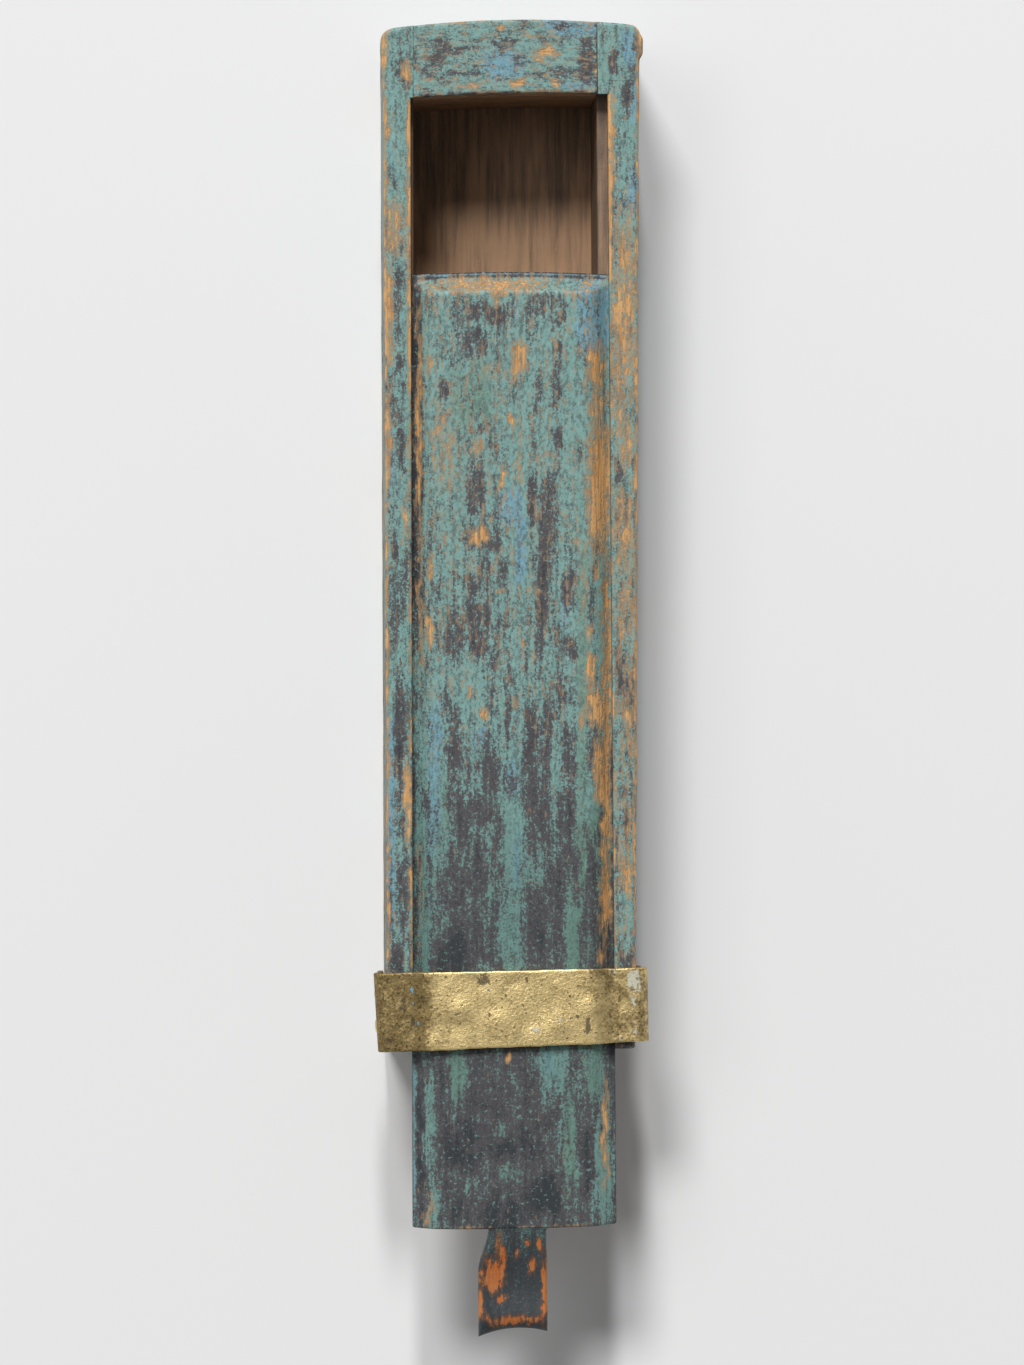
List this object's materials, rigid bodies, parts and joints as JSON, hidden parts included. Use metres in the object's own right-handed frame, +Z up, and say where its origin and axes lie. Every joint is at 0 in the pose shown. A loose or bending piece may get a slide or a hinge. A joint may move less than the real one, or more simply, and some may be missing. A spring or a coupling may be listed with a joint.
{
  "type": "pen box",
  "caption": "Narrow wooden pen box with a raised-panel lid that slides in grooves under a bent brass strap and carries a carved thumb pull.",
  "frame": {"origin": "middle of the floor board's underside, halfway between the foot end and the crown of the head end", "axes": "+Y along the box towards the closed head end, +X to the right as seen from above with the head end up, +Z up through the lid"},
  "size_m": [0.0552, 0.2636, 0.0392],
  "materials": {
    "painted_wood": "worn teal paint over dark undercoat and bare wood",
    "painted_lid": "worn teal paint over dark undercoat and bare wood",
    "brass": "aged, hammered and pitted",
    "iron": "dark, lightly rusted"
  },
  "bodies": {
    "box": {"floor_board": "painted_wood", "left_side": "painted_wood", "right_side": "painted_wood", "head_block": "painted_wood", "foot_block": "painted_wood", "lid_strap": "brass", "strap_tacks": "brass", "side_nails": "iron", "floor_nails": "iron"},
    "lid": {"sliding_lid": "painted_lid"}
  },
  "joints": [
    {"name": "lid_slide", "type": "slide", "parent": "box", "child": "lid", "axis": [0.0052, -1, 0], "range_m": [-0.0369, 0.13]}
  ]
}
